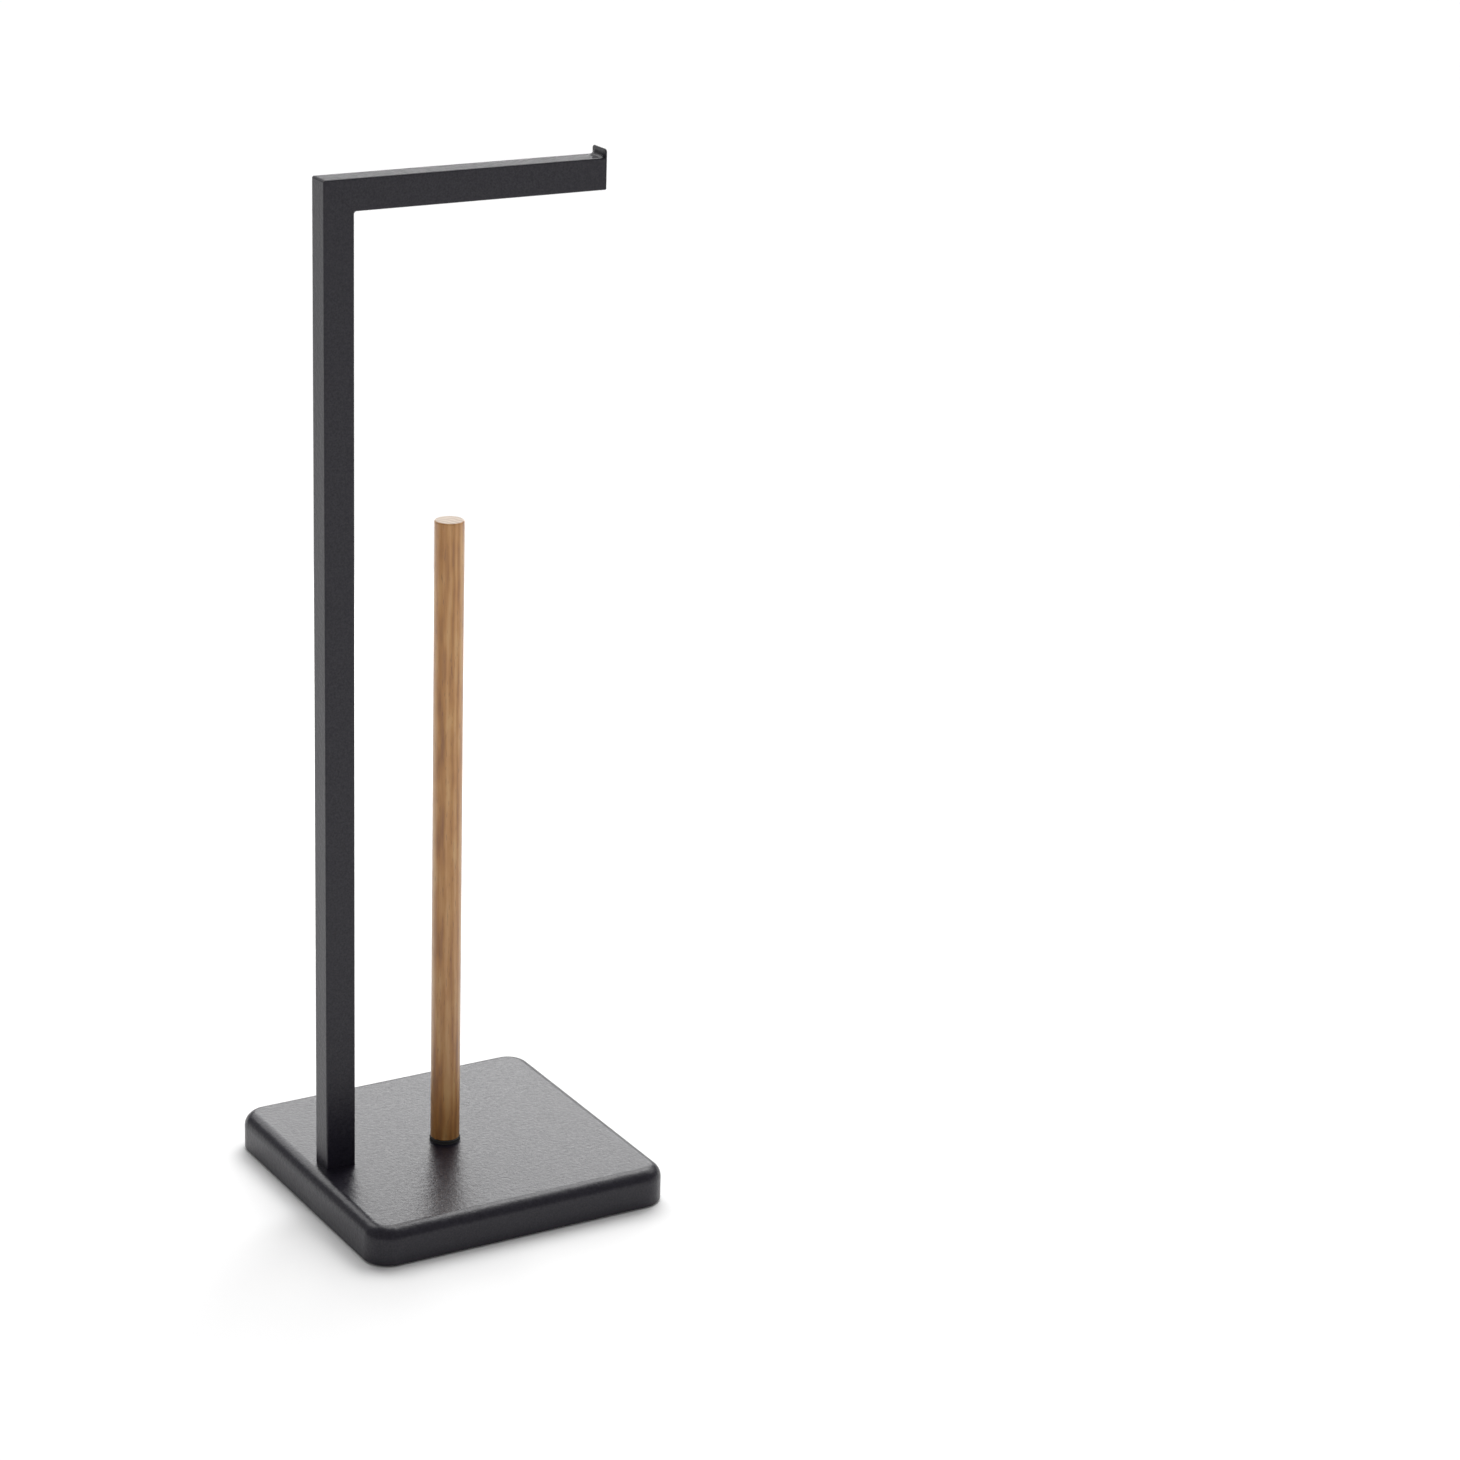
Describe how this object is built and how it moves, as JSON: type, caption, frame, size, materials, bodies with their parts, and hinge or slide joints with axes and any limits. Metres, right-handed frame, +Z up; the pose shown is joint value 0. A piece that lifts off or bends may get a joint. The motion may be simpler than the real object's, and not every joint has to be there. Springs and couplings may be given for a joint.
{
  "type": "toilet paper holder",
  "caption": "Free-standing toilet roll holder: square weighted base, black tubular post with a roll arm and end lip, and an upright wooden rod for spare rolls.",
  "frame": {"origin": "on the surface that the holder stands on, under the middle of its base", "axes": "+Z up, +X along the roll arm from the post to the end plate, +Y towards the back; symmetric front to back"},
  "size_m": [0.2, 0.2, 0.6365],
  "materials": {
    "black_powder_coat": "satin black powder coat with a fine texture",
    "black_painted_sheet": "thin matt black paint on sheet steel",
    "zinc_plated_steel": "bright zinc plating",
    "ballast_cement": "rough cast cement",
    "black_rubber": "matt moulded rubber",
    "rod_hardwood": "straight-grained turned hardwood, lightly oiled"
  },
  "bodies": {
    "root": {"base_shell": "black_powder_coat", "plate_bosses": "zinc_plated_steel", "ballast_block": "ballast_cement", "bottom_plate": "black_painted_sheet", "bottom_plate_screws": "zinc_plated_steel", "foot_front_left": "black_rubber", "foot_front_right": "black_rubber", "foot_rear_left": "black_rubber", "foot_rear_right": "black_rubber", "post_tube": "black_powder_coat", "arm_tube": "black_powder_coat", "corner_weld": "black_powder_coat", "end_plate": "black_powder_coat", "lip_weld": "black_powder_coat", "post_foot_plug": "zinc_plated_steel", "post_clamp_bar": "zinc_plated_steel", "post_screws": "zinc_plated_steel", "spare_roll_rod": "rod_hardwood", "rod_insert": "zinc_plated_steel", "rod_seat_washer": "black_rubber", "rod_screw_washer": "zinc_plated_steel", "rod_screw": "zinc_plated_steel"}
  },
  "joints": []
}
